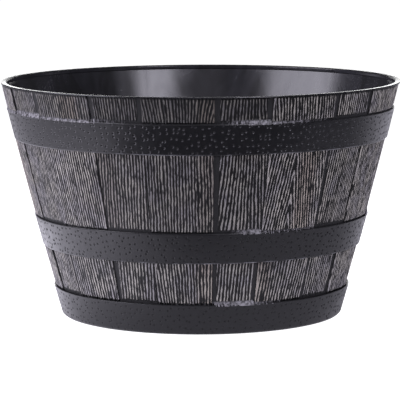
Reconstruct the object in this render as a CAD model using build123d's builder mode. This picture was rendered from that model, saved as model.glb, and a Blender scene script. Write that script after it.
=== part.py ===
from build123d import *
from math import degrees, dist
import os

# Half-barrel planter: one moulded resin tub that imitates staves and hoops, and five rubber drain plugs.
# Millimetres, +Z up. The origin is on the ground under the middle of the tub, and -Y is the front.

os.makedirs("parts", exist_ok=True)

# Overall form of the tub
height = 330.0
top_face_radius = 281.2  # face of a proud stave, produced up to the full height
base_face_radius = 195.0  # the same face, produced down to the ground
stave_bow = 2.1  # how far a stave swells outwards at mid height
wall = 5.2  # from the face of a proud stave to the smooth inside, level

# Rim lip
rim_radius = 282.6
rim_width = 9.0
rim_outer_height = 3.6
rim_inner_height = 5.0
rim_rounding = 1.5
rim_step_slope = 1.2  # rise of the sloping step between the lip's inner edge and the inside of the wall
rim_groove = 2.4  # shadow groove between the lip and the ends of the staves

# Staves: proud wide ones take turns with sunk narrow ones, each pair a little wider in front
front_pairs = 6
back_pairs = 4
front_pair_angle = 36.6
front_turn = -179.6  # where the first front pair starts, from +X
wide_share = 0.55  # part of a pair that the wide stave takes
narrow_sink = 1.6
seam_sink = 2.8  # bottom of the seams beside a narrow stave
seam_width = 6.0

# Hoops: height above the ground, depth, and how far each stands out of the proud staves
hoop_depth = 45.0
top_hoop_low = 251.0
top_hoop_proud = 0.6
middle_hoop_low = 101.0
middle_hoop_proud = 1.0
base_hoop_height = 46.0
base_hoop_proud = 2.4
hoop_bevel_slope = 1.5  # rise of the weathered upper edge for each millimetre that it goes in
hoop_lower_edge = 0.8
base_edge_radius = 5.0

# Floor
foot_width = 7.0
foot_height = 4.0  # air under the floor
floor_thickness = 4.5
floor_corner_height = 9.0  # how far the rounded corner comes up the wall
rib_thickness = 3.0
rib_air = 0.8  # ribs and bosses stay this far above the ground
rib_count = 12
rib_ring_radius = 70.0

# Drain holes and their bosses
hole_radius = 11.0
outer_holes = 4  # round the middle one
hole_circle_radius = 120.0
boss_radius = 21.0
seat_radius = 18.5
seat_depth = 1.5

# Drain plugs
plug_clearance = 0.3
plug_flange_thickness = 2.4
plug_flange_chamfer = 0.8
plug_tip_taper = 1.8
plug_tip_height = 3.0
plug_bore_radius = 5.0
plug_bore_roof = 2.5
plug_neck_radius = 4.5
plug_neck_height = 3.0
plug_knob_radius = 7.5
plug_knob_height = 5.0
plug_knob_chamfer = 1.8
plug_ground_air = 1.2

# Levels and radii that follow from the sizes above
floor_top = foot_height + floor_thickness
lip_underside = height - rim_outer_height
stave_end = lip_underside - rim_groove
stave_start = base_hoop_height / 2  # staves run down behind the base hoop
stave_root = (seam_sink + wall) / 2  # staves grow from the middle of the wall left at a seam
wall_top = height - rim_inner_height - rim_step_slope
back_pair_angle = (360 - front_pairs * front_pair_angle) / back_pairs
hoops = (
    (0, base_hoop_height, base_hoop_proud),
    (middle_hoop_low, middle_hoop_low + hoop_depth, middle_hoop_proud),
    (top_hoop_low, top_hoop_low + hoop_depth, top_hoop_proud),
)
flange_low = floor_top - seat_depth + plug_clearance
flange_top = flange_low + plug_flange_thickness
flange_radius = seat_radius - plug_clearance
plug_radius = hole_radius - plug_clearance
plug_low = plug_ground_air
plug_neck_top = flange_top + plug_neck_height
plug_top = plug_neck_top + plug_knob_height


def face_radius(level, proud=0.0):
    """Radius of the bowed stave face at a height, moved out by proud."""
    share = level / height
    straight = base_face_radius + (top_face_radius - base_face_radius) * share
    return straight + 4 * stave_bow * share * (1 - share) + proud


def face_point(level, proud=0.0):
    """Point of the stave face in a section, as radius and height."""
    return (face_radius(level, proud), level)


def face_arc(low, high, proud=0.0):
    """Stretch of the bowed face between two heights."""
    middle = (low + high) / 2
    return ThreePointArc(face_point(low, proud), face_point(middle, proud), face_point(high, proud))


def section_plane(turn):
    """Upright plane through the axis of the tub, turned from +X."""
    return Plane.XZ.rotated((0, 0, turn))


def stave_turns():
    """Start angle and pair angle of every pair of staves, all the way round."""
    turn = front_turn
    for pair_angle in [front_pair_angle] * front_pairs + [back_pair_angle] * back_pairs:
        yield turn, pair_angle
        turn += pair_angle


seam_angle = degrees(seam_width / face_radius(height / 2))
foot_inside = face_radius(0, base_hoop_proud) - base_edge_radius - foot_width
corner_top = floor_top + floor_corner_height
corner_reach = dist(face_point(floor_top, -wall), face_point(corner_top, -wall))
floor_edge = (face_radius(floor_top, -wall) - corner_reach, floor_top)

# Raised faces of the staves, from inside the base hoop up to the groove under the lip
with BuildPart() as stave_faces:
    for turn, pair_angle in stave_turns():
        wide_angle = pair_angle * wide_share
        narrow_angle = pair_angle - wide_angle - 2 * seam_angle
        for start, sweep, sink in (
            (turn, wide_angle, 0.0),
            (turn + wide_angle + seam_angle, narrow_angle, narrow_sink),
        ):
            with BuildSketch(section_plane(start)):
                with BuildLine():
                    face_arc(stave_start, stave_end, -sink)
                    Polyline(
                        face_point(stave_end, -sink),
                        face_point(stave_end, -stave_root),
                        face_point(stave_start, -stave_root),
                        face_point(stave_start, -sink),
                    )
                make_face()
            revolve(axis=Axis.Z, revolution_arc=sweep)

# The tub: wall, hoops, lip and floor turned in one, then staves, ribs, bosses and drain holes
with BuildPart() as tub:
    with BuildSketch(Plane.XZ) as wall_section:
        with BuildLine():
            Polyline((0, foot_height), (foot_inside, foot_height), (foot_inside, 0), face_point(0, base_hoop_proud))
            level = 0.0
            for low, high, proud in hoops:
                if low > level:
                    face_arc(level, low, -seam_sink)
                    Polyline(
                        face_point(low, -seam_sink),
                        face_point(low, proud - hoop_lower_edge),
                        face_point(low + hoop_lower_edge, proud),
                    )
                    low += hoop_lower_edge
                bevel_low = high - hoop_bevel_slope * (proud + seam_sink)
                face_arc(low, bevel_low, proud)
                Line(face_point(bevel_low, proud), face_point(high, -seam_sink))
                level = high
            face_arc(level, lip_underside, -seam_sink)
            Polyline(
                face_point(lip_underside, -seam_sink),
                (rim_radius, lip_underside),
                (rim_radius, height),
                (rim_radius - rim_width, height),
                (rim_radius - rim_width, height - rim_inner_height),
                face_point(wall_top, -wall),
            )
            face_arc(wall_top, corner_top, -wall)
            TangentArc(floor_edge, face_point(corner_top, -wall), tangent=(1, 0))
            Polyline(floor_edge, (0, floor_top), (0, foot_height))
        make_face()
        fillet(wall_section.vertices().group_by(Axis.Y)[-1], radius=rim_rounding)
        ground_corners = wall_section.vertices().group_by(Axis.Y)[0].sort_by(Axis.X)
        fillet(ground_corners[-1], radius=base_edge_radius)
    revolve(axis=Axis.Z)
    add(stave_faces.part)
    with BuildSketch(Plane.XY.offset(rib_air)):
        with PolarLocations(rib_ring_radius, rib_count, start_angle=180 / rib_count):
            Rectangle(foot_inside - rib_ring_radius + foot_width / 2, rib_thickness, align=(Align.MIN, Align.CENTER))
        Circle(rib_ring_radius + rib_thickness / 2)
        Circle(rib_ring_radius - rib_thickness / 2, mode=Mode.SUBTRACT)
        Circle(boss_radius)
        with PolarLocations(hole_circle_radius, outer_holes):
            Circle(boss_radius)
    extrude(amount=floor_top - floor_thickness / 2 - rib_air)
    with Locations((0, 0, floor_top)):
        CounterBoreHole(hole_radius, seat_radius, seat_depth)
        with PolarLocations(hole_circle_radius, outer_holes):
            CounterBoreHole(hole_radius, seat_radius, seat_depth)

# Rubber drain plug, standing in the middle hole
with BuildPart() as drain_plug:
    with BuildSketch(Plane.XZ) as plug_section:
        with BuildLine():
            Polyline(
                (0, plug_top),
                (0, flange_top - plug_bore_roof),
                (plug_bore_radius, flange_top - plug_bore_roof),
                (plug_bore_radius, plug_low),
                (plug_radius - plug_tip_taper, plug_low),
                (plug_radius, plug_low + plug_tip_height),
                (plug_radius, flange_low),
                (flange_radius, flange_low),
                (flange_radius, flange_top),
                (plug_neck_radius, flange_top),
                (plug_neck_radius, plug_neck_top),
                (plug_knob_radius, plug_neck_top + plug_knob_chamfer),
                (plug_knob_radius, plug_top - plug_knob_chamfer),
                (plug_knob_radius - plug_knob_chamfer, plug_top),
                close=True,
            )
        make_face()
        flange_corners = plug_section.vertices().group_by(Axis.X)[-1].sort_by(Axis.Y)
        chamfer(flange_corners[-1], length=plug_flange_chamfer)
    revolve(axis=Axis.Z)

tub.part.label = "tub"
export_step(tub.part, "parts/tub.step")

plug_places = {
    "drain_plug_middle": (0, 0),
    "drain_plug_front": (0, -hole_circle_radius),
    "drain_plug_back": (0, hole_circle_radius),
    "drain_plug_left": (-hole_circle_radius, 0),
    "drain_plug_right": (hole_circle_radius, 0),
}
for name, place in plug_places.items():
    with BuildPart() as placed_plug:
        with Locations(place):
            add(drain_plug.part)
    placed_plug.part.label = name
    export_step(placed_plug.part, f"parts/{name}.step")
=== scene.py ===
import math
import random

import bpy
import bmesh
from mathutils import Matrix


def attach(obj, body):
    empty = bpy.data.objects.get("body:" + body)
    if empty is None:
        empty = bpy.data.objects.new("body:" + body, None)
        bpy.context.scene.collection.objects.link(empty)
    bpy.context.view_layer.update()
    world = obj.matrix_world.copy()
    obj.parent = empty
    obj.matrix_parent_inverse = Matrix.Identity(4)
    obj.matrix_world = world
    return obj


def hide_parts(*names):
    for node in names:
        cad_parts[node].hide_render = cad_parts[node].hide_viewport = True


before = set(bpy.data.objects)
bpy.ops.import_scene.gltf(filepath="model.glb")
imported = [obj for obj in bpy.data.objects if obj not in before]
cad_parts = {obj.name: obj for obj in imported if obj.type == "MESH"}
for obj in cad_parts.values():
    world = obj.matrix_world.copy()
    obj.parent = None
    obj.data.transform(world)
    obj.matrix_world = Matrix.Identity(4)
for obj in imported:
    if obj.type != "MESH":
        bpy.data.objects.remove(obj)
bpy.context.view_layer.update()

# Half-barrel planter, metres, +Z up, -Y is the front.
# Angles run from the front, positive to the viewer's right.
mm = 0.001

tubSizes = {
    "height": 330 * mm,
    "baseFace": 195 * mm,      # stave face produced down to the ground
    "topFace": 281.2 * mm,     # the same face at full height
    "bow": 2.1 * mm,
    "wall": 5.2 * mm,
    "seamSink": 2.8 * mm,      # bottom of the seams between the staves
}


def faceRadius(level, proud=0.0):
    share = level / tubSizes["height"]
    straight = tubSizes["baseFace"] + (tubSizes["topFace"] - tubSizes["baseFace"]) * share
    return straight + 4 * tubSizes["bow"] * share * (1 - share) + proud


def colour(hexText):
    parts = [int(hexText[i:i + 2], 16) / 255 for i in (1, 3, 5)]
    linear = [p / 12.92 if p <= 0.04045 else ((p + 0.055) / 1.055) ** 2.4 for p in parts]
    return (*linear, 1.0)


smooth = {"interpolation_type": "SMOOTHSTEP"}
# numbers of a colour mix node's sockets
amountIn, underIn, overIn, colourOut = 0, 6, 7, 2


def addNode(tree, kind, inputs=(), operation=None, **settings):
    # a kind that isn't named in full is a shader node
    node = tree.nodes.new(kind if "Node" in kind else "ShaderNode" + kind)
    if operation:
        node.operation = operation
    for name, value in settings.items():
        setattr(node, name, value)
    pairs = inputs.items() if isinstance(inputs, dict) else enumerate(inputs)
    for key, value in pairs:
        if isinstance(value, bpy.types.Node):
            value = value.outputs[0]
        if isinstance(value, bpy.types.NodeSocket):
            tree.links.new(value, node.inputs[key])
        else:
            node.inputs[key].default_value = value
    return node


# Carving and wrapping, as Geometry Nodes modifiers on flat panels: x runs round the tub, y up it, z out of it

def newGroup(name, sockets):
    tree = bpy.data.node_groups.new(name, "GeometryNodeTree")
    for inOut in ("INPUT", "OUTPUT"):
        tree.interface.new_socket("Geometry", in_out=inOut, socket_type="NodeSocketGeometry")
    for socket, value in sockets.items():
        made = tree.interface.new_socket(socket, in_out="INPUT", socket_type="NodeSocketFloat")
        made.default_value = value
    given = addNode(tree, "NodeGroupInput").outputs
    place = addNode(tree, "SeparateXYZ", [addNode(tree, "GeometryNodeInputPosition")])
    return tree, given, place.outputs


def useGroup(piece, tree, **values):
    modifier = piece.modifiers.new(tree.name, "NODES")
    modifier.node_group = tree
    for item in tree.interface.items_tree:
        if item.in_out == "INPUT" and item.name in values:
            modifier[item.identifier] = float(values[item.name])
    bpy.context.view_layer.objects.active = piece
    bpy.ops.object.modifier_apply(modifier=modifier.name)


def buildWrap():
    tree, get, (x, y, z) = newGroup("wrapOnBarrel", {"reference": 0.25})
    angle = addNode(tree, "Math", [x, get["reference"]], "DIVIDE")
    share = addNode(tree, "Math", [y, tubSizes["height"]], "DIVIDE")
    rest = addNode(tree, "Math", [1.0, share], "SUBTRACT")
    bulge = addNode(tree, "Math", [share, rest], "MULTIPLY")
    bow = addNode(tree, "Math", [bulge, 4 * tubSizes["bow"], z], "MULTIPLY_ADD")
    flare = tubSizes["topFace"] - tubSizes["baseFace"]
    taper = addNode(tree, "Math", [share, flare, bow], "MULTIPLY_ADD")
    radius = addNode(tree, "Math", [taper, tubSizes["baseFace"]], "ADD")
    sine = addNode(tree, "Math", [angle], "SINE")
    cosine = addNode(tree, "Math", [angle], "COSINE")
    across = addNode(tree, "Math", [sine, radius], "MULTIPLY")
    along = addNode(tree, "Math", [cosine, radius], "MULTIPLY")
    front = addNode(tree, "Math", [along, -1.0], "MULTIPLY")
    wrapped = addNode(tree, "CombineXYZ", [across, front, y])
    moved = addNode(tree, "GeometryNodeSetPosition", {"Geometry": get["Geometry"], "Position": wrapped})
    addNode(tree, "NodeGroupOutput", [moved])
    return tree


def drawPatches(tree, x, y, seed, across, along):
    # soft uneven patches, about this wide and this tall
    u = addNode(tree, "Math", [x, across], "DIVIDE")
    v = addNode(tree, "Math", [y, along], "DIVIDE")
    return addNode(tree, "TexNoise", {"Vector": addNode(tree, "CombineXYZ", [u, v, seed]), "Scale": 1.0})


def moveFront(tree, geometry, onFront, height, attributes):
    # the attributes are stored before the points move, while z still tells front from back
    for name, value in attributes.items():
        stored = {"Geometry": geometry, "Name": name, "Value": value}
        geometry = addNode(tree, "GeometryNodeStoreNamedAttribute", stored, domain="POINT", data_type="FLOAT")
    shift = addNode(tree, "CombineXYZ", [0.0, 0.0, height])
    moved = {"Geometry": geometry, "Selection": onFront, "Offset": shift}
    addNode(tree, "NodeGroupOutput", [addNode(tree, "GeometryNodeSetPosition", moved)])


frontAbove = -1.0 * mm  # a panel's front face lies above this, its back face below

grainSockets = {
    "seed": 0.0, "pitch": 4.8 * mm, "depth": 1.0 * mm, "apex": 1.0, "slope": 0.0, "fan": 0.0,
    "left": 0.0, "right": 0.1, "low": 0.1, "high": 0.2, "sink": 0.0, "marginLeft": 0.0, "marginRight": 0.0,
    "ledgeTop": 0.1, "ledgeProud": 0.6 * mm, "ledgeSlope": 2.5, "ledgeLeft": 0.0, "ledgeRight": 0.0,
    "warmAt": 0.0, "warmWide": 0.01, "warmth": 0.0, "tone": 1.0,
}
grainNoise = {
    # name: step of the seed, patch width and height, how far a patch pushes the ridges sideways
    "sway": (0.0, 30 * mm, 90 * mm, 6 * mm),
    "waver": (17.3, 7 * mm, 22 * mm, 2.6 * mm),
    "breaks": (41.9, 4.5 * mm, 30 * mm, 0.0),
    "beads": (77.1, 2.2 * mm, 9 * mm, 0.9 * mm),
}
grainShape = {
    "archRound": 1.5 * mm,     # how softly an arched ridge turns over
    "waveShare": 0.72,         # what the regular wave gives a ridge, beside the noise
    "arrisEnd": 2.4 * mm,      # width of the worn edge of a wide stave
    "marginDrop": 0.5 * mm,    # a smooth margin lies this much lower than the grooves
    "ragged": 2.4 * mm,        # how unevenly the grain ends above a ledge
    "edgeDrop": 0.7 * mm,      # rounding of a stave's side
    "recess": 2.9 * mm,        # depth over the hoop where no ledge fills it
    "lumps": 2.2 * mm,         # how lumpy a ledge is
}


def buildGrain():
    s = grainShape
    tree, get, (x, y, z) = newGroup("carveGrain", grainSockets)
    bothEnds = addNode(tree, "Math", [get["low"], get["high"]], "ADD")
    middle = addNode(tree, "Math", [bothEnds, 0.5], "MULTIPLY")
    bothSides = addNode(tree, "Math", [get["left"], get["right"]], "ADD")
    centre = addNode(tree, "Math", [bothSides, 0.5], "MULTIPLY")
    rise = addNode(tree, "Math", [y, middle], "SUBTRACT")
    fromCentre = addNode(tree, "Math", [x, centre], "SUBTRACT")
    fromApex = addNode(tree, "Math", [x, get["apex"]], "SUBTRACT")
    apexSquare = addNode(tree, "Math", [fromApex, fromApex, s["archRound"] ** 2], "MULTIPLY_ADD")
    arch = addNode(tree, "Math", [apexSquare], "SQRT")
    leaned = addNode(tree, "Math", [rise, get["slope"], arch], "MULTIPLY_ADD")
    spread = addNode(tree, "Math", [fromCentre, get["fan"]], "MULTIPLY")
    pushed = addNode(tree, "Math", [spread, rise, leaned], "MULTIPLY_ADD")
    noise = {}
    for name, (seedStep, across, along, push) in grainNoise.items():
        seed = addNode(tree, "Math", [get["seed"], seedStep], "ADD")
        noise[name] = drawPatches(tree, x, y, seed, across, along)
        pushed = addNode(tree, "Math", [noise[name], push, pushed], "MULTIPLY_ADD")
    turns = addNode(tree, "Math", [pushed, get["pitch"]], "DIVIDE")
    phase = addNode(tree, "Math", [turns, 2 * math.pi], "MULTIPLY")
    wave = addNode(tree, "Math", [phase], "SINE")
    lift = addNode(tree, "Math", [noise["breaks"], 1.5, -0.36], "MULTIPLY_ADD")
    beaded = addNode(tree, "Math", [noise["beads"], 1.6, -0.8], "MULTIPLY_ADD")
    uneven = addNode(tree, "Math", [lift, beaded], "ADD")
    raw = addNode(tree, "Math", [wave, s["waveShare"], uneven], "MULTIPLY_ADD")
    ridge = addNode(tree, "MapRange", [raw, 0.0, 1.0, 0.0, 1.0], **smooth)
    # light dry-brushed arrises on wide staves, smooth dark margins on narrow ones
    toLeft = addNode(tree, "Math", [x, get["left"]], "SUBTRACT")
    toRight = addNode(tree, "Math", [get["right"], x], "SUBTRACT")
    toEdge = addNode(tree, "Math", [toLeft, toRight], "MINIMUM")
    arrisSpan = [toEdge, s["arrisEnd"] / 2, s["arrisEnd"], 1.0, 0.0]
    arris = addNode(tree, "MapRange", arrisSpan, **smooth)
    isWide = addNode(tree, "Math", [get["sink"], 0.1 * mm], "LESS_THAN")
    arrisOn = addNode(tree, "Math", [arris, isWide], "MULTIPLY")
    arrisWear = addNode(tree, "Math", [noise["breaks"], 1.5], "MULTIPLY")
    arrisBroken = addNode(tree, "Math", [arrisOn, arrisWear], "MULTIPLY")
    withArris = addNode(tree, "Math", [ridge, arrisBroken], "MAXIMUM")
    pastLeft = addNode(tree, "Math", [toLeft, get["marginLeft"]], "SUBTRACT")
    pastRight = addNode(tree, "Math", [toRight, get["marginRight"]], "SUBTRACT")
    pastMargin = addNode(tree, "Math", [pastLeft, pastRight], "MINIMUM")
    marginSpan = [pastMargin, -0.4 * mm, 0.5 * mm, 0.0, 1.0]
    clear = addNode(tree, "MapRange", marginSpan, **smooth)
    inside = addNode(tree, "Math", [withArris, clear], "MULTIPLY")
    # ends of the grain, ragged above the ledge and below the lip
    ragged = addNode(tree, "Math", [noise["beads"], s["ragged"], y], "MULTIPLY_ADD")
    lowEnd = addNode(tree, "Math", [ragged, get["ledgeTop"]], "SUBTRACT")
    startSpan = [lowEnd, 0.4 * mm, 2.0 * mm, 0.0, 1.0]
    started = addNode(tree, "MapRange", startSpan, **smooth)
    highEnd = addNode(tree, "Math", [get["high"], y], "SUBTRACT")
    ended = addNode(tree, "MapRange", [highEnd, 0.0, 1.2 * mm, 0.35, 1.0])
    body = addNode(tree, "Math", [inside, ended], "MULTIPLY")
    carve = addNode(tree, "Math", [body, 1.0], "SUBTRACT")
    cut = addNode(tree, "Math", [carve, get["depth"]], "MULTIPLY")
    drop = s["marginDrop"]
    marginCut = addNode(tree, "Math", [clear, drop, -drop], "MULTIPLY_ADD")
    cutAll = addNode(tree, "Math", [cut, marginCut], "ADD")
    sunk = addNode(tree, "Math", [cutAll, get["sink"]], "SUBTRACT")
    edgeSpan = [toEdge, 0.0, 0.9 * mm, -s["edgeDrop"], 0.0]
    edgeDrop = addNode(tree, "MapRange", edgeSpan, **smooth)
    stave = addNode(tree, "Math", [sunk, edgeDrop], "ADD")
    # ledge over the hoop: a lumpy bevel where it is filled, a dark recess where it isn't
    wide = addNode(tree, "Math", [get["right"], get["left"]], "SUBTRACT")
    acrossShare = addNode(tree, "Math", [toLeft, wide], "DIVIDE")
    filledRaw = addNode(tree, "MapRange", [acrossShare, 0.0, 1.0, get["ledgeLeft"], get["ledgeRight"]])
    unevenFill = addNode(tree, "Math", [noise["beads"], 1.2, -0.6], "MULTIPLY_ADD")
    filled = addNode(tree, "Math", [unevenFill, filledRaw], "ADD")
    fill = addNode(tree, "MapRange", [filled, 0.25, 0.75, 0.0, 1.0], **smooth)
    above = addNode(tree, "Math", [y, get["low"]], "SUBTRACT")
    inwards = addNode(tree, "Math", [above, get["ledgeSlope"]], "DIVIDE")
    bevel = addNode(tree, "Math", [get["ledgeProud"], inwards], "SUBTRACT")
    lumps = addNode(tree, "Math", [noise["beads"], s["lumps"], -1.3 * mm], "MULTIPLY_ADD")
    bevelLumpy = addNode(tree, "Math", [bevel, lumps], "ADD")
    ledge = addNode(tree, "MapRange", [fill, 0.0, 1.0, -s["recess"], bevelLumpy])
    staveSpan = [lowEnd, 0.2 * mm, 1.4 * mm, 0.0, 1.0]
    onStave = addNode(tree, "MapRange", staveSpan, **smooth)
    height = addNode(tree, "MapRange", [onStave, 0.0, 1.0, ledge, stave])
    # what the colour reads: ridge height, ledge (dry-brushed paint with painted highlight streaks), warm patch and
    # the tone of the stretch
    onFront = addNode(tree, "FunctionNodeCompare", [z, frontAbove], "GREATER_THAN")
    ridgeStarted = addNode(tree, "Math", [body, started], "MULTIPLY")
    ridgePaint = addNode(tree, "Math", [ridgeStarted, onFront], "MULTIPLY")
    offStave = addNode(tree, "Math", [1.0, onStave], "SUBTRACT")
    # ledge paint where the ledge is filled; the material lightens it in streaks as a painted highlight
    ledgePaint = addNode(tree, "Math", [fill, offStave], "MULTIPLY")
    warmFrom = addNode(tree, "Math", [x, get["warmAt"]], "SUBTRACT")
    warmOff = addNode(tree, "Math", [warmFrom], "ABSOLUTE")
    warmAway = addNode(tree, "Math", [warmOff, get["warmWide"]], "DIVIDE")
    warmSpan = [warmAway, 0.3, 1.0, get["warmth"], 0.0]
    warm = addNode(tree, "MapRange", warmSpan, **smooth)
    paint = {"ridge": ridgePaint, "ledge": ledgePaint, "warmth": warm, "tone": get["tone"]}
    moveFront(tree, get["Geometry"], onFront, height, paint)
    return tree


hoopSockets = {"seed": 0.0, "low": 0.25, "high": 0.293, "proud": 0.6 * mm, "round": 0.8 * mm}
hammer = {
    "cell": 8.4 * mm,          # mean distance between two blows
    "randomness": 0.75,
    "pit": 1.2 * mm,
    "rim": 0.12 * mm,          # low rim round a blow
    "swell": 0.5 * mm,         # slow unevenness of the band
    # painted highlight crescents sit on the side of each pit that faces this way, lower right
    "glintTowards": (0.45, -0.89, 0.0),
}


def buildHammer():
    tree, get, (x, y, z) = newGroup("hammerHoop", hoopSockets)
    u = addNode(tree, "Math", [x, hammer["cell"]], "DIVIDE")
    v = addNode(tree, "Math", [y, hammer["cell"]], "DIVIDE")
    uv = addNode(tree, "CombineXYZ", [u, v, get["seed"]])
    blow = {"Vector": uv, "Scale": 1.0, "Randomness": hammer["randomness"]}
    pits = addNode(tree, "TexVoronoi", blow, voronoi_dimensions="2D")
    # distances from a blow are shares of a cell
    away = pits.outputs["Distance"]
    pit = addNode(tree, "MapRange", [away, 0.05, 0.21, 1.0, 0.0], **smooth)
    # a painted highlight on one side of each pit's rim, facing the light
    fromPit = addNode(tree, "VectorMath", [uv, pits.outputs["Position"]], "SUBTRACT")
    direction = addNode(tree, "VectorMath", [fromPit], "NORMALIZE")
    aligned = addNode(tree, "VectorMath", [direction, hammer["glintTowards"]], "DOT_PRODUCT")
    facing = addNode(tree, "MapRange", [aligned.outputs["Value"], 0.3, 0.95])
    ringIn = addNode(tree, "MapRange", [away, 0.08, 0.15])
    ringOut = addNode(tree, "MapRange", [away, 0.18, 0.28, 1.0, 0.0])
    ring = addNode(tree, "Math", [ringIn, ringOut], "MULTIPLY")
    glintCrescent = addNode(tree, "Math", [ring, facing], "MULTIPLY")
    rim = addNode(tree, "MapRange", [away, 0.18, 0.36, 1.0, 0.0], **smooth)
    swell = drawPatches(tree, x, y, get["seed"], 14 * mm, 11 * mm)
    toLow = addNode(tree, "Math", [y, get["low"]], "SUBTRACT")
    toHigh = addNode(tree, "Math", [get["high"], y], "SUBTRACT")
    toEdge = addNode(tree, "Math", [toLow, toHigh], "MINIMUM")
    insideSpan = [toEdge, 1.4 * mm, 3.2 * mm, 0.0, 1.0]
    inside = addNode(tree, "MapRange", insideSpan, **smooth)
    pitIn = addNode(tree, "Math", [pit, inside], "MULTIPLY")
    glintCrescentIn = addNode(tree, "Math", [glintCrescent, inside], "MULTIPLY")
    rimIn = addNode(tree, "Math", [rim, inside], "MULTIPLY")
    cut = addNode(tree, "Math", [pitIn, hammer["pit"]], "MULTIPLY")
    dished = addNode(tree, "Math", [get["proud"], cut], "SUBTRACT")
    rimmed = addNode(tree, "Math", [rimIn, hammer["rim"], dished], "MULTIPLY_ADD")
    swollen = addNode(tree, "Math", [swell, hammer["swell"], rimmed], "MULTIPLY_ADD")
    flat = addNode(tree, "Math", [swollen, hammer["swell"] / 2], "SUBTRACT")
    # lower corner rounded by its own radius, upper edge by half a millimetre
    lowIn = addNode(tree, "Math", [get["round"], toLow], "SUBTRACT")
    lowClamped = addNode(tree, "Math", [lowIn, 0.0], "MAXIMUM")
    lowSquare = addNode(tree, "Math", [lowClamped, lowClamped], "MULTIPLY")
    roundSquare = addNode(tree, "Math", [get["round"], get["round"]], "MULTIPLY")
    lowRest = addNode(tree, "Math", [roundSquare, lowSquare], "SUBTRACT")
    lowAbove = addNode(tree, "Math", [lowRest, 0.0], "MAXIMUM")
    lowRoot = addNode(tree, "Math", [lowAbove], "SQRT")
    lowDrop = addNode(tree, "Math", [lowRoot, get["round"]], "SUBTRACT")
    highSpan = [toHigh, 0.0, 0.9 * mm, -0.5 * mm, 0.0]
    highDrop = addNode(tree, "MapRange", highSpan, **smooth)
    lowShaped = addNode(tree, "Math", [flat, lowDrop], "ADD")
    height = addNode(tree, "Math", [lowShaped, highDrop], "ADD")
    onFront = addNode(tree, "FunctionNodeCompare", [z, frontAbove], "GREATER_THAN")
    # lower edge lighter along its bottom 1.5 mm: partly worn paint, partly a painted highlight on the rounded edge
    edgeWearAndSheen = addNode(tree, "MapRange", [toLow, 0.0, 1.5 * mm, 1.0, 0.0], **smooth)
    paint = {"pit": pitIn, "glintCrescent": glintCrescentIn, "edgeWearAndSheen": edgeWearAndSheen}
    moveFront(tree, get["Geometry"], onFront, height, paint)
    return tree


wrapOnBarrel = buildWrap()
carveGrain = buildGrain()
hammerHoop = buildHammer()
print("modifiers ready")


def pickEdges(piece, test):
    bpy.ops.mesh.select_all(action="DESELECT")
    mesh = bmesh.from_edit_mesh(piece.data)
    for edge in mesh.edges:
        a, b = (v.co for v in edge.verts)
        edge.select_set(edge.is_boundary and test(a) and test(b))
    bmesh.update_edit_mesh(piece.data)


def addPanel(name, left, right, low, high, columnStep, rowStep, backDepth):
    bpy.ops.object.select_all(action="DESELECT")
    columns = max(2, round((right - left) / columnStep))
    rows = max(2, round((high - low) / rowStep))
    middle = ((left + right) / 2, (low + high) / 2, 0)
    bpy.ops.mesh.primitive_grid_add(x_subdivisions=columns, y_subdivisions=rows, size=1, location=middle)
    piece = bpy.context.object
    piece.name = piece.data.name = name
    piece.scale = (right - left, high - low, 1)
    bpy.ops.object.transform_apply()
    bpy.ops.object.mode_set(mode="EDIT")
    bpy.ops.mesh.select_mode(type="EDGE")
    nearly = 1e-6
    pickEdges(piece, lambda co: co.y > high - nearly and co.z > -nearly)
    bpy.ops.mesh.extrude_region_move(TRANSFORM_OT_translate={"value": (0, 0, -backDepth)})
    pickEdges(piece, lambda co: co.y < low + nearly and co.z > -nearly)
    bpy.ops.mesh.extrude_region_move(TRANSFORM_OT_translate={"value": (0, 0, -backDepth)})
    pickEdges(piece, lambda co: co.z < -backDepth + nearly)
    bpy.ops.mesh.bridge_edge_loops()
    bpy.ops.mesh.select_all(action="DESELECT")
    bpy.ops.mesh.select_non_manifold()
    bpy.ops.mesh.fill_holes(sides=0)
    bpy.ops.mesh.select_all(action="SELECT")
    bpy.ops.mesh.normals_make_consistent(inside=False)
    bpy.ops.object.mode_set(mode="OBJECT")
    return piece


def finishPiece(piece, body, slotName, *materials):
    piece.data.materials.clear()
    for material in materials:
        piece.data.materials.append(material)
    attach(piece, body)


def joinPieces(name, pieces):
    bpy.ops.object.select_all(action="DESELECT")
    for piece in pieces:
        piece.select_set(True)
    bpy.context.view_layer.objects.active = pieces[0]
    if len(pieces) > 1:
        bpy.ops.object.join()
    pieces[0].name = pieces[0].data.name = name
    return pieces[0]


def spinOutline(name, outline, steps, centre=(0, 0)):
    bpy.ops.object.select_all(action="DESELECT")
    bpy.ops.mesh.primitive_plane_add(size=1 * mm, location=(0, 0, 0))
    piece = bpy.context.object
    piece.name = piece.data.name = name
    bpy.ops.object.mode_set(mode="EDIT")
    bpy.ops.mesh.select_mode(type="VERT")
    bpy.ops.mesh.select_all(action="SELECT")
    bpy.ops.mesh.merge(type="CENTER")
    startX, startZ = outline[0]
    bpy.ops.transform.translate(value=(startX, 0, startZ))
    for (x0, z0), (x1, z1) in zip(outline, outline[1:]):
        bpy.ops.mesh.extrude_region_move(TRANSFORM_OT_translate={"value": (x1 - x0, 0, z1 - z0)})
    bpy.ops.mesh.select_all(action="SELECT")
    bpy.ops.mesh.spin(steps=steps, angle=2 * math.pi, center=(0, 0, 0), axis=(0, 0, 1))
    bpy.ops.mesh.select_all(action="SELECT")
    bpy.ops.mesh.remove_doubles(threshold=0.005 * mm)
    bpy.ops.mesh.normals_make_consistent(inside=False)
    bpy.ops.object.mode_set(mode="OBJECT")
    piece.location = (centre[0], centre[1], 0)
    bpy.ops.object.transform_apply()
    return piece


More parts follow.
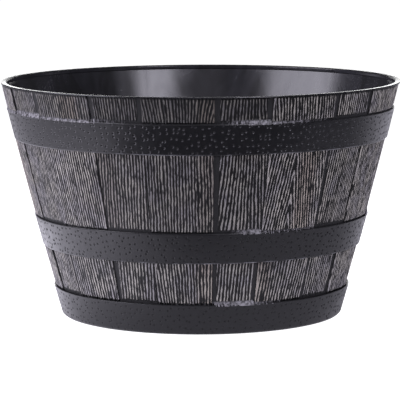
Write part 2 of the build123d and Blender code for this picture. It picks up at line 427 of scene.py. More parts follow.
def arcPoints(centre, radius, start, end, steps):
    points = []
    for i in range(steps + 1):
        turn = math.radians(start + (end - start) * i / steps)
        points.append((centre[0] + radius * math.cos(turn), centre[1] + radius * math.sin(turn)))
    return points


def smoothByAngle(piece, degrees=35):
    bpy.ops.object.select_all(action="DESELECT")
    piece.select_set(True)
    bpy.context.view_layer.objects.active = piece
    bpy.ops.object.shade_smooth_by_angle(angle=math.radians(degrees))


# Materials

def newMaterial(name):
    material = bpy.data.materials.new(name)
    material.use_nodes = True
    tree = material.node_tree
    tree.nodes.clear()
    return material, tree, addNode(tree, "TexCoord").outputs["Object"]


def finishMaterial(tree, base, roughness, height, strength, distance, ior=1.49):
    bump = addNode(tree, "Bump", {"Height": height, "Strength": strength, "Distance": distance})
    look = {"Base Color": base.outputs[colourOut], "Roughness": roughness, "Normal": bump, "IOR": ior}
    addNode(tree, "OutputMaterial", {"Surface": addNode(tree, "BsdfPrincipled", look)})


# Weathered polypropylene stave: moulded grain, near black in the grooves where the bare resin is darkened further
# as painted shade, dry-brushed grey-brown on the ridges, ledge paint lightened in streaks as a painted highlight
def buildStavePaint():
    look = {
        "groove": "#0d0d0e", "ridge": "#918d87", "ridgeCool": "#7c797b", "tan": "#8d7e6c", "ledge": "#7f7d82",
    }
    material, tree, spot = newMaterial("dryBrushedStaveResin")
    carved = {}
    for name in ("ridge", "ledge", "warmth", "tone"):
        carved[name] = addNode(tree, "Attribute", attribute_name=name).outputs["Fac"]
    blotch = addNode(tree, "TexNoise", {"Vector": spot, "Scale": 1 / (30 * mm), "Detail": 3.0})
    drawn = addNode(tree, "Mapping", {"Vector": spot, "Scale": (1.0, 1.0, 0.22)})
    fine = addNode(tree, "TexNoise", {"Vector": drawn, "Scale": 1 / (2.5 * mm), "Detail": 3.0})
    cool = addNode(tree, "MapRange", [blotch, 0.4, 0.62])
    greys = {amountIn: cool, underIn: colour(look["ridge"]), overIn: colour(look["ridgeCool"])}
    grey = addNode(tree, "Mix", greys, data_type="RGBA").outputs[colourOut]
    warmBlotch = addNode(tree, "MapRange", [blotch, 0.3, 0.6, 0.4, 1.0])
    warm = addNode(tree, "Math", [carved["warmth"], warmBlotch], "MULTIPLY")
    tans = {amountIn: warm, underIn: grey, overIn: colour(look["tan"])}
    brush = addNode(tree, "Mix", tans, data_type="RGBA").outputs[colourOut]
    worn = addNode(tree, "MapRange", [fine, 0.3, 0.7, -0.32, 0.32])
    brushed = addNode(tree, "Math", [carved["ridge"], worn], "ADD", use_clamp=True)
    painted = addNode(tree, "MapRange", [brushed, 0.5, 1.05], **smooth)
    # the stretch's tone scales the ridge colour, darker below 1 and lighter above
    amount = addNode(tree, "Math", [painted, carved["tone"]], "MULTIPLY")
    # the grooves and the unfilled recesses over a hoop take a near-black colour: the bare dark resin, darkened
    # further as painted shade
    grooved = {amountIn: amount, underIn: colour(look["groove"]), overIn: brush}
    grain = addNode(tree, "Mix", grooved, data_type="RGBA", clamp_factor=False).outputs[colourOut]
    # ledge colour: dry-brushed paint, broken up and lightened in streaks as a painted highlight
    crumbs = addNode(tree, "TexNoise", {"Vector": spot, "Scale": 1 / (4 * mm)})
    brokenPaintAndSheen = addNode(tree, "MapRange", [crumbs, 0.42, 0.56, 0.28, 1.0])
    ledgePaintAndSheen = addNode(tree, "Math", [brokenPaintAndSheen, carved["ledge"]], "MULTIPLY")
    ledged = {amountIn: ledgePaintAndSheen, underIn: grain, overIn: colour(look["ledge"])}
    base = addNode(tree, "Mix", ledged, data_type="RGBA")
    rough = addNode(tree, "MapRange", [brushed, 0.0, 1.0, 0.52, 0.42])
    finishMaterial(tree, base, rough, fine, 0.35, 0.3 * mm)
    return material


# Hammered hoop resin: charcoal polypropylene straight from the mould, semi-gloss; painted shade in the pits,
# painted highlight crescents on their rims, a lower edge lighter partly from worn paint and partly as a painted
# highlight
def buildHoopPaint():
    # pit is a darker colour put in the dents as painted shade; worn is the light grey of the worn lower edge and of
    # the painted highlights
    look = {"charcoal": "#19191b", "pit": "#09090a", "worn": "#78787d", "paintedGlint": 0.3}
    material, tree, spot = newMaterial("hammeredCharcoalResin")
    beaten = {}
    for name in ("pit", "edgeWearAndSheen", "glintCrescent"):
        beaten[name] = addNode(tree, "Attribute", attribute_name=name).outputs["Fac"]
    blotch = addNode(tree, "TexNoise", {"Vector": spot, "Scale": 1 / (20 * mm), "Detail": 4.0})
    fine = addNode(tree, "TexNoise", {"Vector": spot, "Scale": 1 / (1.2 * mm)})
    # painted shade: the dents take a darker colour than the charcoal
    pitShade = {amountIn: beaten["pit"], underIn: colour(look["charcoal"]), overIn: colour(look["pit"])}
    dark = addNode(tree, "Mix", pitShade, data_type="RGBA").outputs[colourOut]
    wornBlotch = addNode(tree, "MapRange", [blotch, 0.46, 0.62])
    edgeWearAndSheenAt = addNode(tree, "Math", [wornBlotch, beaten["edgeWearAndSheen"]], "MULTIPLY")
    # painted highlight: the crescents take part of the worn colour
    paintedGlint = addNode(tree, "Math", [beaten["glintCrescent"], look["paintedGlint"]], "MULTIPLY")
    # the worn colour covers both the worn lower edge and the painted highlights
    worn = addNode(tree, "Math", [edgeWearAndSheenAt, paintedGlint], "MAXIMUM")
    layers = {amountIn: worn, underIn: dark, overIn: colour(look["worn"])}
    base = addNode(tree, "Mix", layers, data_type="RGBA")
    rough = addNode(tree, "MapRange", [blotch, 0.3, 0.7, 0.27, 0.36])
    finishMaterial(tree, base, rough, fine, 0.25, 0.15 * mm)
    return material


# Satin shell resin: smooth moulded inside and lip, faint flow mottling
def buildShellPaint(name, smoothest, roughest):
    look = {"charcoal": "#1f1f21", "lighter": "#28282c"}
    material, tree, spot = newMaterial(name)
    stretch = addNode(tree, "Mapping", {"Vector": spot, "Scale": (1.0, 1.0, 0.45)})
    flow = {"Vector": stretch, "Scale": 1 / (35 * mm), "Detail": 4.0, "Distortion": 1.2}
    swirl = addNode(tree, "TexNoise", flow)
    fine = addNode(tree, "TexNoise", {"Vector": spot, "Scale": 1 / (1.5 * mm)})
    mottle = addNode(tree, "MapRange", [swirl, 0.35, 0.65])
    mottled = {amountIn: mottle, underIn: colour(look["charcoal"]), overIn: colour(look["lighter"])}
    base = addNode(tree, "Mix", mottled, data_type="RGBA")
    rough = addNode(tree, "MapRange", [swirl, 0.35, 0.65, smoothest, roughest])
    finishMaterial(tree, base, rough, fine, 0.12, 0.1 * mm)
    return material


# Seam resin: the unpainted ground between the staves, dull and nearly black
def buildSeamPaint():
    look = {"ground": "#151516", "dust": "#202022"}
    material, tree, spot = newMaterial("darkSeamResin")
    dust = addNode(tree, "TexNoise", {"Vector": spot, "Scale": 1 / (4 * mm), "Detail": 3.0})
    layers = {amountIn: dust, underIn: colour(look["ground"]), overIn: colour(look["dust"])}
    base = addNode(tree, "Mix", layers, data_type="RGBA")
    finishMaterial(tree, base, 0.7, dust, 0.2, 0.2 * mm)
    return material


# EPDM rubber: matt black, finely grained by its mould
def buildRubber():
    look = {"black": "#141415", "bloom": "#1d1d1f"}
    material, tree, spot = newMaterial("mouldedEpdmRubber")
    bloom = addNode(tree, "TexNoise", {"Vector": spot, "Scale": 1 / (6 * mm), "Detail": 3.0})
    fine = addNode(tree, "TexNoise", {"Vector": spot, "Scale": 1 / (0.6 * mm)})
    layers = {amountIn: bloom, underIn: colour(look["black"]), overIn: colour(look["bloom"])}
    base = addNode(tree, "Mix", layers, data_type="RGBA")
    finishMaterial(tree, base, 0.68, fine, 0.25, 0.1 * mm, ior=1.52)
    return material


staveResin = buildStavePaint()
hoopResin = buildHoopPaint()
shellResin = buildShellPaint("satinShellResin", 0.2, 0.28)
lipResin = buildShellPaint("polishedLipResin", 0.14, 0.18)
seamResin = buildSeamPaint()
rubber = buildRubber()
print("materials ready")

# Shell: lip, inside wall, floor, foot ring and the ground that staves and hoops stand on, spun in one

shellSizes = {
    "rimRadius": 282.5 * mm,
    "rimWidth": 9 * mm,
    "rimOuterHeight": 1.7 * mm,
    "rimInnerHeight": 5 * mm,
    "rimStep": 1.2 * mm,
    "rimRound": 1.1 * mm,
    "rimOuterRound": 1.2 * mm,
    "inwardSlope": 0.4 * mm,   # the lip's inner edge lies this much lower
    "floorRings": (0.0, 50 * mm, 120 * mm),
    "floorTop": 8.5 * mm,
    "floorUnderside": 4 * mm,
    "cornerHeight": 9 * mm,
    "cornerSteps": 8,
    "wallSteps": 24,
    "groundLow": 2.5 * mm,     # the ground behind the base hoop ends here, above the foot ring
    "footInside": 185.4 * mm,
    "footOutside": 192.4 * mm,
    "steps": 360,
}


def shellOutline():
    s = shellSizes
    top, outer, inner = tubSizes["height"], s["rimRadius"], s["rimRadius"] - s["rimWidth"]
    inside, ground = -tubSizes["wall"], -tubSizes["seamSink"]
    floorTop, cornerTop = s["floorTop"], s["floorTop"] + s["cornerHeight"]
    cornerRadius = faceRadius(cornerTop, inside)
    reach = cornerRadius - math.dist((faceRadius(floorTop), floorTop), (faceRadius(cornerTop), cornerTop))
    points = [(radius, floorTop) for radius in s["floorRings"]]
    for i in range(s["cornerSteps"] + 1):
        turn = i / s["cornerSteps"] * math.pi / 2
        across = reach + (cornerRadius - reach) * math.sin(turn)
        points.append((across, floorTop + s["cornerHeight"] * (1 - math.cos(turn))))
    wallTop = top - s["rimInnerHeight"] - s["rimStep"]
    for i in range(1, s["wallSteps"] + 1):
        level = cornerTop + (wallTop - cornerTop) * i / s["wallSteps"]
        points.append((faceRadius(level, inside), level))
    points.append((inner, top - s["rimInnerHeight"]))
    r = s["rimRound"]
    points += arcPoints((inner + r, top - s["inwardSlope"] - r), r, 180, 93, 5)
    r = s["rimOuterRound"]
    points += arcPoints((outer - r, top - r), r, 93, 10, 8)
    # fractions of a millimetre here only soften edges
    under = top - s["rimOuterHeight"]
    points += [(outer, under + 0.25 * mm), (outer - 0.4 * mm, under)]
    points.append((faceRadius(under, ground) + 0.3 * mm, under - 0.2 * mm))
    for i in range(s["wallSteps"] + 1):
        share = i / s["wallSteps"]
        level = (under - 0.6 * mm) * (1 - share) + s["groundLow"] * share
        points.append((faceRadius(level, ground), level))
    footIn, footOut = s["footInside"], s["footOutside"]
    points += [(footOut, 0.3 * mm), (footOut - 1 * mm, 0.0), (footIn + 0.8 * mm, 0.0)]
    points += [(footIn, 0.8 * mm), (footIn, s["floorUnderside"]), (0.0, s["floorUnderside"])]
    return points


shell = spinOutline("tub_shell", shellOutline(), shellSizes["steps"])

drainSizes = {
    "hole": 11 * mm,
    "seat": 18.5 * mm,
    "seatDepth": 1.5 * mm,
    "circle": 120 * mm,
    "boss": 21 * mm,
    "cutTop": 20 * mm,
}
drainPlaces = {
    "middle": (0, 0),
    "front": (0, -drainSizes["circle"]),
    "back": (0, drainSizes["circle"]),
    "left": (-drainSizes["circle"], 0),
    "right": (drainSizes["circle"], 0),
}


def cutDrains(piece, radius, low):
    high = drainSizes["cutTop"]
    cutters = []
    for x, y in drainPlaces.values():
        middle = (x, y, (low + high) / 2)
        bpy.ops.object.select_all(action="DESELECT")
        bpy.ops.mesh.primitive_cylinder_add(vertices=64, radius=radius, depth=high - low, location=middle)
        bpy.ops.object.transform_apply()
        cutters.append(bpy.context.object)
    cutter = joinPieces("drainCutter", cutters)
    modifier = piece.modifiers.new("drains", "BOOLEAN")
    modifier.operation = "DIFFERENCE"
    modifier.solver = "EXACT"
    modifier.object = cutter
    bpy.ops.object.select_all(action="DESELECT")
    bpy.context.view_layer.objects.active = piece
    bpy.ops.object.modifier_apply(modifier=modifier.name)
    bpy.data.objects.remove(cutter)


cutDrains(shell, drainSizes["hole"], 0)
cutDrains(shell, drainSizes["seat"], shellSizes["floorTop"] - drainSizes["seatDepth"])
finishPiece(shell, "tub", "weathered_resin", shellResin, seamResin, lipResin)
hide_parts("tub")

shellPaint = {
    "outsideFrom": -3.6 * mm,  # between the inside of the wall and the bottom of the seams
    "seamLow": 2 * mm,
    "seamHigh": tubSizes["height"] - shellSizes["rimOuterHeight"] - 0.3 * mm,
    "lipLow": tubSizes["height"] - shellSizes["rimInnerHeight"],
}
for face in shell.data.polygons:
    x, y, level = face.center
    outside = math.hypot(x, y) > faceRadius(level, shellPaint["outsideFrom"])
    onSeams = outside and shellPaint["seamLow"] < level < shellPaint["seamHigh"]
    face.material_index = 1 if onSeams else 2 if level > shellPaint["lipLow"] else 0
smoothByAngle(shell, 40)
print("shell ready")

# Ribs and drain bosses under the floor

ribSizes = {
    "count": 12, "ring": 70 * mm, "thick": 3 * mm, "low": 0.8 * mm, "high": 4.6 * mm, "soft": 0.5 * mm,
    "outer": 187 * mm,
}


def hangingRing(inner, outer):
    low, high, soft = ribSizes["low"], ribSizes["high"], ribSizes["soft"]
    points = [(inner, high), (inner, low + soft), (inner + soft, low), (outer - soft, low)]
    return points + [(outer, low + soft), (outer, high), (inner, high)]


def addRibs():
    s = ribSizes
    parts = []
    length = s["outer"] - s["ring"]
    middle = (s["ring"] + length / 2, 0, (s["low"] + s["high"]) / 2)
    for i in range(s["count"]):
        bpy.ops.object.select_all(action="DESELECT")
        bpy.ops.mesh.primitive_cube_add(size=1, location=middle)
        rib = bpy.context.object
        rib.scale = (length, s["thick"], s["high"] - s["low"])
        bpy.ops.object.transform_apply()
        bpy.ops.object.mode_set(mode="EDIT")
        bpy.ops.mesh.select_all(action="SELECT")
        bpy.ops.mesh.bevel(offset=s["soft"], segments=2)
        bpy.ops.object.mode_set(mode="OBJECT")
        rib.rotation_euler = (0, 0, 2 * math.pi * (i + 0.5) / s["count"])
        bpy.ops.object.transform_apply()
        parts.append(rib)
    half = s["thick"] / 2
    parts.append(spinOutline("ribRing", hangingRing(s["ring"] - half, s["ring"] + half), 96))
    ribs = joinPieces("floor_ribs", parts)
    finishPiece(ribs, "tub", "weathered_resin", shellResin)
    smoothByAngle(ribs)


def addBosses():
    outline = hangingRing(drainSizes["hole"], drainSizes["boss"])
    rings = [spinOutline("boss", outline, 64, place) for place in drainPlaces.values()]
    bosses = joinPieces("drain_bosses", rings)
    finishPiece(bosses, "tub", "weathered_resin", shellResin)
    smoothByAngle(bosses)


addRibs()
addBosses()
print("floor ready")

# Staves: six pairs in front, four wider-spaced pairs behind, as the frame has them

staveSizes = {
    "frontPairs": 6,
    "backPairs": 4,
    "frontPair": 36.6,
    "firstTurn": -89.6,
    "wideShare": 0.55,
    "seam": 0.3,               # angle of the open line beside a narrow stave
    "narrowSink": 1.6 * mm,
    "depth": 1.0 * mm,
    "pitch": (4.0, 4.6),       # from ridge to ridge, in millimetres
    "column": 0.62 * mm,
    "row": 2.4 * mm,
    "back": 3.1 * mm,
    "behindHoop": 1.5 * mm,    # how far a stave runs down behind its hoop
    "farApex": 60,             # degrees to the left, for grain that has no arches
    "margin": 1.2,             # degrees
    "warmWide": 5,             # degrees
    "warmShare": 0.7,
}
zones = {
    # low is the hoop's upper edge, high the next hoop or the lip; proud and slope are the ledge's
    "lower": {
        "low": 42.5 * mm, "high": 103 * mm, "wideLedge": 1.6 * mm, "narrowLedge": 4.0 * mm,
        "proud": 2.4 * mm, "slope": 1.2, "reference": 213 * mm,
    },
    "middle": {
        "low": 143 * mm, "high": 253 * mm, "wideLedge": 2.0 * mm, "narrowLedge": 5.0 * mm,
        "proud": 1.0 * mm, "slope": 2.5, "reference": 247 * mm,
    },
    "upper": {
        "low": 293 * mm, "high": 327.6 * mm, "wideLedge": 2.2 * mm, "narrowLedge": 4.7 * mm,
        "proud": 0.6 * mm, "slope": 2.5, "reference": 278 * mm,
    },
}
# Figure of each stave that faces the viewer, for the lower, middle and upper stretch: apex of its arches in
# degrees (none = plain lean), slope, fan, ledge left and right, warm patch at and strength
figures = {
    "narrow_-69": (
        (None, 0.01, 0, .2, .2),
        (None, -0.01, 0, 0, .2),
        (None, 0.02, 0, .5, 1),
    ),
    "wide_-53": (
        (None, 0.02, 0, .3, .2),
        (None, 0.02, 0.3, .35, .3, -62, .9),
        (None, 0.03, 0, .8, .8, -40, .8),
    ),
    "narrow_-33": (
        (None, -0.06, 0, .2, .1),
        (None, -0.08, 1, .1, 0, -30, .3),
        (None, 0.04, 0, .6, .1),
    ),
    "wide_-16": (
        (None, 0.03, -1, .3, .4, 2, .7),
        (None, 0.0, 0.6, 0, 0, 2.5, .5),
        (None, 0.0, -4, .25, .15, 2, .8),
    ),
    "narrow_4": (
        (None, -0.03, 0.8, .5, 1),
        (None, -0.02, 3.5, 0, .9),
        (None, 0.0, 4, .15, 1.05),
    ),
    "wide_20": (
        (None, -0.08, 0, .6, .2, 22, .6),
        (29, 0.14, 0, .55, .5, 34, .7),
        (None, 0.1, 0, .75, .3),
    ),
    "narrow_41": (
        (None, 0.0, 0, 0, 0),
        (None, -0.04, 0, .1, .1),
        (None, 0.05, 0, 0, 0),
    ),
    "wide_57": (
        (None, 0.03, 0, .1, .1),
        (None, 0.03, 0, .2, .2),
        (None, -0.03, 0, .2, .2),
    ),
}

# Smooth dark margin left and right of the grain on a narrow stave, in degrees, where it isn't the usual 1.2
smoothMargins = {
    ("narrow_-69", "middle"): (0.2, 0.2),
    ("narrow_-33", "middle"): (0.2, 0.1),
    ("narrow_-33", "lower"): (1.2, 0.2),
    ("narrow_4", "middle"): (1.3, 0.1),
    ("narrow_41", "middle"): (1.2, 0.2),
}

# How far a stave's ridge colour is scaled, lower to upper, where it isn't 1: below 1 darker, above 1 lighter
ridgeToneScales = {
    "narrow_-69": (1.05, 1.1, 0.8),
    "wide_-53": (1.0, 1.3, 0.72),
    "narrow_-33": (0.95, 0.82, 0.48),
    "wide_-16": (0.92, 0.75, 0.42),
    "narrow_4": (0.9, 0.85, 0.5),
    "wide_20": (0.9, 1.15, 1.0),
    "narrow_41": (0.9, 1.0, 1.1),
    "wide_57": (0.9, 1.12, 1.15),
}


def guessFigure(dice, start, end):
    # for a stave that doesn't face the viewer
    slope, fan = dice.uniform(-0.1, 0.1), dice.uniform(-1, 1)
    ledges = (dice.choice((0, .2, .7)), dice.choice((0, .2, .7)))
    warm = (start + dice.random() * (end - start), dice.choice((0, .5)))
    return (None, slope, fan, *ledges, *warm)


def addStave(name, start, end, isWide, seed):
    s = staveSizes
    dice = random.Random(seed)
    parts = []
    tones = ridgeToneScales.get(name, (1.0, 1.0, 1.0))
    for index, (zoneName, zone) in enumerate(zones.items()):
        figure = figures[name][index] if name in figures else guessFigure(dice, start, end)
        apex, slope, fan, ledgeLeft, ledgeRight, *warm = figure
        if apex is None:
            apex = start - s["farApex"]
        warmAt, warmth = warm if warm else (start, 0.0)
        usual = (s["margin"], s["margin"])
        margins = (-1, -1) if isWide else smoothMargins.get((name, zoneName), usual)
        low, high, reference = zone["low"], zone["high"], zone["reference"]
        left, right = math.radians(start) * reference, math.radians(end) * reference
        title = f"{name}_{zoneName}"
        panel = addPanel(title, left, right, low - s["behindHoop"], high, s["column"], s["row"], s["back"])
        useGroup(
            panel, carveGrain,
            seed=seed * 7.7 + dice.random() * 3, pitch=dice.uniform(*s["pitch"]) * mm, depth=s["depth"],
            apex=math.radians(apex) * reference, slope=slope, fan=fan, left=left, right=right,
            low=low, high=high, sink=0 if isWide else s["narrowSink"],
            marginLeft=math.radians(margins[0]) * reference, marginRight=math.radians(margins[1]) * reference,
            ledgeTop=low + zone["wideLedge" if isWide else "narrowLedge"],
            ledgeProud=zone["proud"], ledgeSlope=zone["slope"], ledgeLeft=ledgeLeft, ledgeRight=ledgeRight,
            warmAt=math.radians(warmAt) * reference, warmWide=math.radians(s["warmWide"]) * reference,
            warmth=s["warmShare"] * warmth, tone=tones[index],
        )
        useGroup(panel, wrapOnBarrel, reference=reference)
        parts.append(panel)
    stave = joinPieces(f"stave_{name}", parts)
    finishPiece(stave, "tub", "weathered_resin", staveResin)
    smoothByAngle(stave, 60)


def addStaves():
    s = staveSizes
    backPair = (360 - s["frontPairs"] * s["frontPair"]) / s["backPairs"]
    turn = s["firstTurn"]
    for index, pair in enumerate([s["frontPair"]] * s["frontPairs"] + [backPair] * s["backPairs"]):
        wide = pair * s["wideShare"]
        narrowStart = turn + wide + s["seam"]
        addStave(f"wide_{round(turn)}", turn, turn + wide, True, 2 * index)
        addStave(f"narrow_{round(narrowStart)}", narrowStart, turn + pair - s["seam"], False, 2 * index + 1)
        turn += pair


addStaves()
print("staves ready")

# Hoops: hammered bands, each modelled flat in a front and a back half and wrapped on the barrel

hoopSizes = {
    "top": {"low": 251 * mm, "high": 293 * mm, "proud": 0.6 * mm, "round": 0.8 * mm, "reference": 272 * mm},
    "middle": {"low": 101 * mm, "high": 143 * mm, "proud": 1.0 * mm, "round": 0.8 * mm, "reference": 230 * mm},
    "base": {"low": 0 * mm, "high": 42.5 * mm, "proud": 2.4 * mm, "round": 5.0 * mm, "reference": 203 * mm},
}
hoopMesh = {"column": 0.85 * mm, "row": 0.84 * mm, "back": 3.4 * mm}


def addHoops():
    m = hoopMesh
    for index, (name, hoop) in enumerate(hoopSizes.items()):
        quarter = math.pi / 2 * hoop["reference"]
        for side, left in (("front", -quarter), ("back", quarter)):
            low, high, right = hoop["low"], hoop["high"], left + 2 * quarter
            panel = addPanel(f"hoop_{name}_{side}", left, right, low, high, m["column"], m["row"], m["back"])
            edges = {"low": low, "high": high, "proud": hoop["proud"], "round": hoop["round"]}
            useGroup(panel, hammerHoop, seed=index * 5.1, **edges)
            useGroup(panel, wrapOnBarrel, reference=hoop["reference"])
            finishPiece(panel, "tub", "weathered_resin", hoopResin)
            smoothByAngle(panel, 60)


addHoops()
print("hoops ready")

# Drain plugs: rubber, spun once for each hole

plugSizes = {
    "low": 1.2 * mm, "tip": 8.9 * mm, "stem": 10.7 * mm, "tipHeight": 3 * mm, "flangeLow": 7.3 * mm,
    "flangeTop": 9.7 * mm, "flange": 18.2 * mm, "bore": 5 * mm, "boreRoof": 2.5 * mm, "neck": 4.5 * mm,
    "neckTop": 12.7 * mm, "knob": 7.5 * mm, "top": 17.7 * mm,
}


def plugOutline():
    s = plugSizes
    # fractions of a millimetre here soften edges and dish the flange and the knob
    roof = s["flangeTop"] - s["boreRoof"]
    points = [(0, roof), (s["bore"] - 0.6 * mm, roof), (s["bore"], roof - 0.6 * mm)]
    points += [(s["bore"], s["low"] + 0.3 * mm), (s["bore"] + 0.3 * mm, s["low"])]
    points += [(s["tip"] - 0.4 * mm, s["low"])]
    points += [(s["tip"], s["low"] + 0.5 * mm), (s["stem"], s["low"] + s["tipHeight"]), (s["stem"], s["flangeLow"])]
    points += [(s["flange"] - 0.4 * mm, s["flangeLow"]), (s["flange"], s["flangeLow"] + 0.4 * mm)]
    points += arcPoints((s["flange"] - 0.9 * mm, s["flangeTop"] - 0.9 * mm), 0.9 * mm, 0, 90, 5)
    points += [(s["flange"] - 3 * mm, s["flangeTop"]), (s["flange"] - 3.4 * mm, s["flangeTop"] - 0.4 * mm)]
    points += [(s["flange"] - 4.2 * mm, s["flangeTop"] - 0.4 * mm), (s["flange"] - 4.6 * mm, s["flangeTop"])]
    points += arcPoints((s["neck"] + 1.1 * mm, s["flangeTop"] + 1.1 * mm), 1.1 * mm, 270, 180, 5)
    points += [(s["neck"], s["neckTop"])]
    points += arcPoints((s["knob"] - 1.9 * mm, s["neckTop"] + 2.0 * mm), 1.9 * mm, -80, 0, 6)
    points += arcPoints((s["knob"] - 1.8 * mm, s["top"] - 1.8 * mm), 1.8 * mm, 0, 90, 6)
    points += [(2.8 * mm, s["top"]), (1.6 * mm, s["top"] - 0.4 * mm), (0, s["top"] - 0.5 * mm)]
    return points


for name, place in drainPlaces.items():
    plug = spinOutline(f"rubber_plug_{name}", plugOutline(), 72, place)
    finishPiece(plug, f"plug_{name}", "plug_rubber", rubber)
    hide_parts(f"drain_plug_{name}")
    smoothByAngle(plug, 35)
print("plugs ready")

# Studio: white sweep for the eye, brighter on the left as the object's reflections show, soft boxes round it

studio = {
    "camera": {
        "place": (0, -3.6695, 0.6307), "pitch": 0.1279, "roll": -0.0037, "lens": 234.7,
        "shift": (-0.003, 0.00025),
    },
    "world": 0.045,
    "sweepWhite": 1.0,
    "sweepLeft": 2.6,        # what reflections see of the sweep, left and right of the object
    "sweepRight": 0.55,
    "sweepFarRight": 0.8,    # far behind the object on the right
    "tableGlow": 1.7,        # light from the table top close round the object
    "sweepFront": -0.43,     # in front of this the sweep ends for reflections
    "backCard": (1.0, 3.6),  # strength at its middle and towards its ends
    "lampTint": "#f3f0ff",
    "lampsAim": 0.2,         # height of the point that every lamp faces
    "lamps": {
        # name: azimuth from the front, elevation, distance, width, height, watts
        "leftBox": (-72, 25, 2.2, 1.85, 1.3, 54),
        "leftRearBox": (-125, 10, 2.4, 1.2, 1.0, 46),
        "rightBox": (31, 25, 2.4, 0.95, 1.1, 29),
        "rightRearBox": (118, 8, 2.4, 1.2, 1.0, 44),
        "frontStrip": (22, 38, 2.4, 2.8, 0.4, 9),
    },
}
white = (1, 1, 1, 1)


def addCard(name, size, place, turn):
    bpy.ops.object.select_all(action="DESELECT")
    bpy.ops.mesh.primitive_plane_add(size=1, location=place, rotation=turn)
    card = bpy.context.object
    card.name = card.data.name = name
    card.scale = (*size, 1)
    bpy.ops.object.transform_apply()
    material = bpy.data.materials.new(name + "Paper")
    material.use_nodes = True
    material.node_tree.nodes.clear()
    card.data.materials.append(material)
    return card, material.node_tree


def addSweep():
    s = studio
    floor, tree = addCard("floor", (30, 30), (0, 0, -0.0005), (0, 0, 0))
    path = addNode(tree, "LightPath").outputs
    eye = addNode(tree, "Math", [path["Is Camera Ray"], path["Is Transmission Ray"]], "MAXIMUM")
    spot = addNode(tree, "TexCoord").outputs["Object"]
    x, y, z = addNode(tree, "SeparateXYZ", [spot]).outputs
    acrossSpan = [x, -0.5, 0.0, s["sweepLeft"], s["sweepRight"]]
    fromLeft = addNode(tree, "MapRange", acrossSpan, **smooth)
    front = addNode(tree, "MapRange", [y, s["sweepFront"] - 0.04, s["sweepFront"] + 0.04])
    beside = addNode(tree, "MapRange", [x, -0.56, -0.5, 1.0, 0.0])
    behind = addNode(tree, "MapRange", [y, 0.05, 0.6, 0.0, s["sweepFarRight"]])
    toRight = addNode(tree, "MapRange", [x, 0.2, 0.4])
    farRight = addNode(tree, "Math", [behind, toRight], "MULTIPLY")
    lit = addNode(tree, "Math", [front, beside], "MAXIMUM")
    away = addNode(tree, "VectorMath", [spot], "LENGTH").outputs["Value"]
    fallOff = addNode(tree, "MapRange", [away, 0.5, 0.85, 1.0, 0.35])
    nearLit = addNode(tree, "Math", [lit, fallOff], "MULTIPLY")
    mirrored = addNode(tree, "Math", [fromLeft, nearLit], "MULTIPLY")
    bothSides = addNode(tree, "Math", [mirrored, farRight], "ADD")
    glossy = addNode(tree, "Math", [bothSides, path["Is Glossy Ray"]], "MULTIPLY")
    tableSpan = [away, 0.22, 0.55, s["tableGlow"], 0.0]
    table = addNode(tree, "MapRange", tableSpan, **smooth)
    bounced = addNode(tree, "Math", [table, path["Is Diffuse Ray"], glossy], "MULTIPLY_ADD")
    strength = addNode(tree, "Math", [eye, s["sweepWhite"], bounced], "MULTIPLY_ADD")
    paper = addNode(tree, "BsdfDiffuse", {"Color": colour("#d8d8d8")})
    tints = {amountIn: eye, underIn: colour(s["lampTint"]), overIn: white}
    tint = addNode(tree, "Mix", tints, data_type="RGBA").outputs[colourOut]
    glow = addNode(tree, "Emission", {"Color": tint, "Strength": strength})
    litPaper = addNode(tree, "AddShader", [paper, glow])
    shown = addNode(tree, "MixShader", [path["Is Glossy Ray"], litPaper, glow])
    addNode(tree, "OutputMaterial", {"Surface": shown})


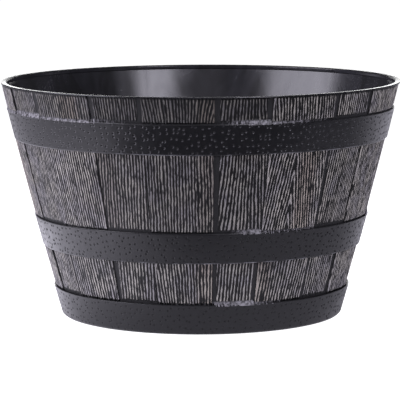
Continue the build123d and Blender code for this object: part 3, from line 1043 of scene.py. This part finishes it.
def addBackCard():
    card, tree = addCard("backCard", (2.6, 0.6), (0, 3.2, 0.32), (math.pi / 2, 0, 0))
    x, y, z = addNode(tree, "SeparateXYZ", [addNode(tree, "TexCoord").outputs["Object"]]).outputs
    centreGlow, sideGlow = studio["backCard"]
    sideways = addNode(tree, "Math", [x], "ABSOLUTE")
    strength = addNode(tree, "MapRange", [sideways, 0.12, 0.5, centreGlow, sideGlow])
    glow = addNode(tree, "Emission", {"Color": white, "Strength": strength})
    addNode(tree, "OutputMaterial", {"Surface": glow})
    card.visible_camera = card.visible_diffuse = card.visible_shadow = card.visible_transmission = False


def addStudio():
    addSweep()
    addBackCard()
    world = bpy.data.worlds.new("studioAir")
    bpy.context.scene.world = world
    world.use_nodes = True
    tree = world.node_tree
    tree.nodes.clear()
    path = addNode(tree, "LightPath").outputs
    seen = addNode(tree, "Math", [path["Is Camera Ray"], path["Is Transmission Ray"]], "MAXIMUM")
    strength = addNode(tree, "MapRange", [seen, 0.0, 1.0, studio["world"], 1.0])
    air = addNode(tree, "Background", {"Color": white, "Strength": strength})
    addNode(tree, "OutputWorld", {"Surface": air})
    for name, (azimuth, elevation, distance, width, tall, watts) in studio["lamps"].items():
        data = bpy.data.lights.new(name, "AREA")
        data.shape, data.size, data.size_y, data.energy = "RECTANGLE", width, tall, watts
        data.color = colour(studio["lampTint"])[:3]
        lamp = bpy.data.objects.new(name, data)
        bpy.context.scene.collection.objects.link(lamp)
        lamp.visible_glossy = "Rear" not in name  # they only fill the sides
        a, e = math.radians(azimuth), math.radians(elevation)
        level, height = distance * math.cos(e), distance * math.sin(e) + studio["lampsAim"]
        lamp.location = (level * math.sin(a), -level * math.cos(a), height)
        lamp.rotation_euler = (math.pi / 2 - e, 0, a)
    c = studio["camera"]
    data = bpy.data.cameras.new("photoCamera")
    data.lens, data.sensor_width = c["lens"], 36
    data.shift_x, data.shift_y = c["shift"]
    camera = bpy.data.objects.new("photoCamera", data)
    bpy.context.scene.collection.objects.link(camera)
    tilt = Matrix.Rotation(math.pi / 2 - c["pitch"], 4, "X") @ Matrix.Rotation(c["roll"], 4, "Z")
    camera.matrix_world = Matrix.Translation(c["place"]) @ tilt
    bpy.context.scene.camera = camera
    bpy.context.scene.view_settings.view_transform = "Standard"


addStudio()
print("studio ready")
